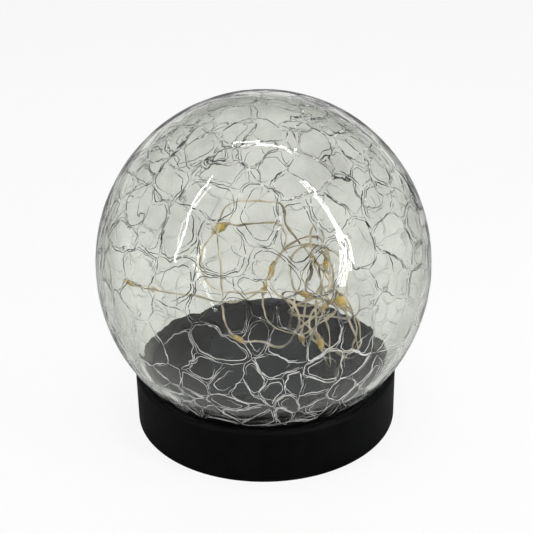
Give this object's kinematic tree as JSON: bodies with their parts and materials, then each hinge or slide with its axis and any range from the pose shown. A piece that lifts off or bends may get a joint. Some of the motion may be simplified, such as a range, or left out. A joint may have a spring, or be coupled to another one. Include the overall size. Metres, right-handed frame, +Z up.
{
  "type": "garden globe light",
  "caption": "Solar garden light: a crackle glass globe on a low round black base that twists off, with a solar panel, battery and a loose copper light string inside.",
  "frame": {"origin": "centre of the base's underside, on the surface that the light stands on", "axes": "+Z up along the globe's axis, the side seen in the picture faces -Y, +X to its right"},
  "size_m": [0.12, 0.12, 0.1228],
  "materials": {
    "black_plastic": "fine matte moulded black",
    "deck_plastic": "satin black",
    "soft_rubber": "matte black rubber",
    "board_green": "green solder mask",
    "panel_board": "dark panel board",
    "solar_cell": "dark slate silicon",
    "clear_resin": "clear cast resin",
    "chip_black": "matte black",
    "coil_copper": "enamelled copper winding",
    "can_aluminium": "brushed can",
    "screw_steel": "zinc plated",
    "switch_metal": "pressed steel case",
    "lever_white": "white nylon",
    "battery_wrap": "plain green sleeve",
    "contact_nickel": "nickel plate",
    "lead_insulation": "wire insulation",
    "string_copper": "champagne enamelled wire",
    "bead_resin": "clear resin drop",
    "led_phosphor": "yellow phosphor",
    "crackle_glass": "clear crackle glass, faint green grey",
    "silicone": "black silicone"
  },
  "bodies": {
    "base": {"base_housing": "black_plastic", "bottom_cover": "black_plastic", "top_deck": "deck_plastic", "wire_grommet": "soft_rubber", "circuit_board": "board_green", "solar_substrate": "panel_board", "solar_cells": "solar_cell", "solar_cover": "clear_resin", "controller_chip": "chip_black", "inductor": "coil_copper", "capacitor": "can_aluminium", "board_screws": "screw_steel", "switch_body": "switch_metal", "battery": "battery_wrap", "battery_tray": "deck_plastic", "positive_contact": "contact_nickel", "negative_contact": "contact_nickel", "contact_spring": "contact_nickel", "battery_leads": "lead_insulation", "solar_leads": "lead_insulation", "string_inner_lead": "string_copper", "light_string_lead_in": "string_copper", "light_string_loops": "string_copper", "light_string_run": "string_copper", "led_beads": "bead_resin", "led_chips": "led_phosphor", "cover_screws": "screw_steel"},
    "seal": {"seal_ring": "soft_rubber"},
    "globe": {"glass_globe": "crackle_glass", "globe_adhesive": "silicone", "neck_collar": "deck_plastic"},
    "lever": {"switch_lever": "lever_white"},
    "door": {"battery_door": "black_plastic", "door_screw": "screw_steel"}
  },
  "joints": [
    {"name": "globe_rise", "type": "slide", "parent": "base", "child": "seal", "axis": [0, 0, 1], "range_m": [0, 0.0061]},
    {"name": "globe_turn", "type": "hinge", "parent": "seal", "child": "globe", "pos_m": [0, 0, 0.01], "axis": [0, 0, 1], "range_deg": [0, 90]},
    {"name": "switch_slide", "type": "slide", "parent": "base", "child": "lever", "axis": [1, 0, 0], "range_m": [0, 0.002]},
    {"name": "battery_door_hinge", "type": "hinge", "parent": "base", "child": "door", "pos_m": [-0.0269, -0.007, 0.0019], "axis": [0, 1, 0], "range_deg": [0, 75]}
  ],
  "couplings": [
    {"joint": "globe_rise", "follows": "globe_turn", "m_per_rad": 0.0038197}
  ]
}
